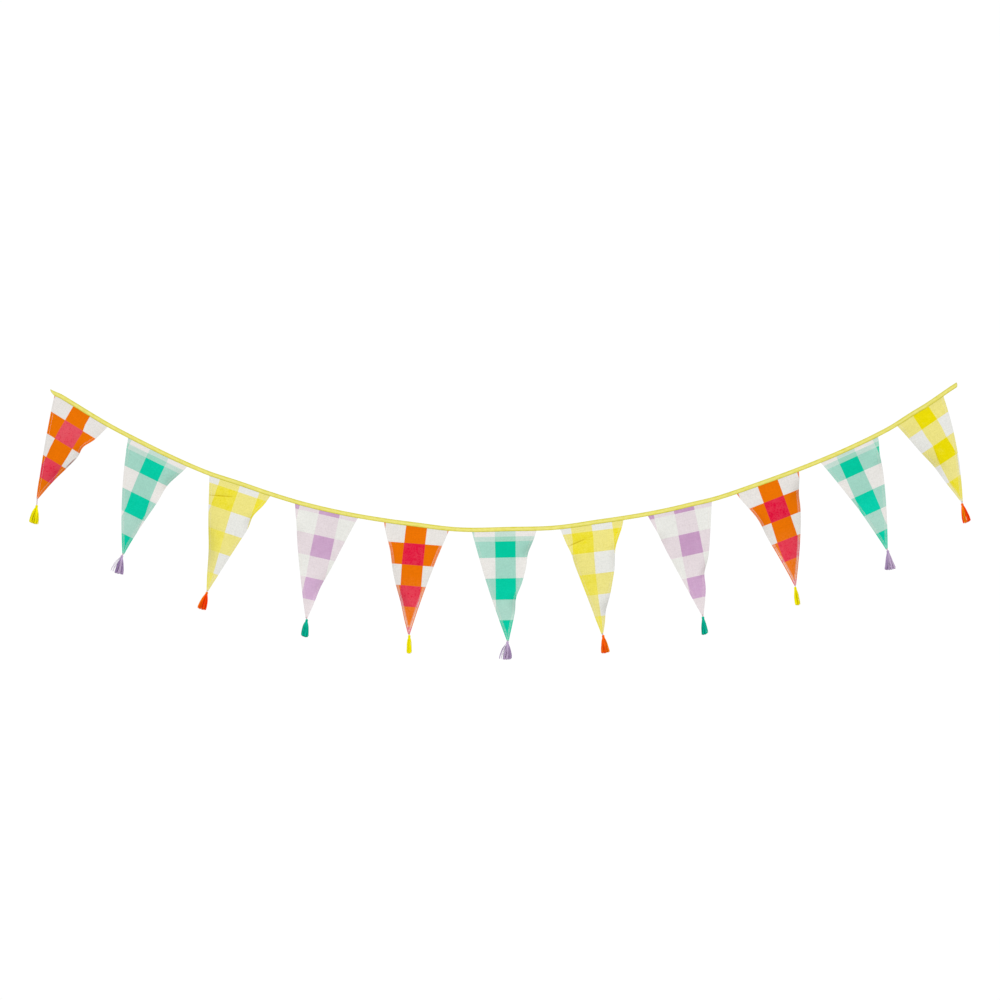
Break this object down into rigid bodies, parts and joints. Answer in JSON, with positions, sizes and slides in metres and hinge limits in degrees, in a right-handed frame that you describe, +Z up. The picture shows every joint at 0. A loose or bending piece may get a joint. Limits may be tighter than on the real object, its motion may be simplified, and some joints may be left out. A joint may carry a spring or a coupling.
{
  "type": "fabric bunting",
  "caption": "Fabric bunting: triangular gingham pennants hung from a folded cotton tape that sags in a shallow arc, with a yarn tassel at the tip of each pennant.",
  "frame": {"origin": "left end of the tape's upper edge, where the bunting is hung", "axes": "+X from the tape's left end to its right end, -Y the way the fronts of the pennants face, +Z up"},
  "size_m": [2.9402, 0.0674, 0.8684],
  "materials": {
    "tape": "plain woven cotton, matt",
    "orange_gingham": "woven cotton check in orange, pink and white, matt",
    "green_gingham": "woven cotton check in green and white, matt",
    "yellow_gingham": "woven cotton check in yellow and white, matt",
    "lilac_gingham": "woven cotton check in lilac and white, matt",
    "yellow_yarn": "twisted yarn, soft sheen",
    "purple_yarn": "twisted yarn, soft sheen",
    "orange_yarn": "twisted yarn, soft sheen",
    "teal_yarn": "twisted yarn, soft sheen"
  },
  "bodies": {
    "root": {"tape": "tape", "pennant_01": "orange_gingham", "pennant_02": "green_gingham", "pennant_03": "yellow_gingham", "pennant_04": "lilac_gingham", "pennant_05": "orange_gingham", "pennant_06": "green_gingham", "pennant_07": "yellow_gingham", "pennant_08": "lilac_gingham", "pennant_09": "orange_gingham", "pennant_10": "green_gingham", "pennant_11": "yellow_gingham", "tassel_01": "yellow_yarn", "tassel_02": "purple_yarn", "tassel_03": "orange_yarn", "tassel_04": "teal_yarn", "tassel_05": "yellow_yarn", "tassel_06": "purple_yarn", "tassel_07": "orange_yarn", "tassel_08": "teal_yarn", "tassel_09": "yellow_yarn", "tassel_10": "purple_yarn", "tassel_11": "orange_yarn"}
  },
  "joints": []
}
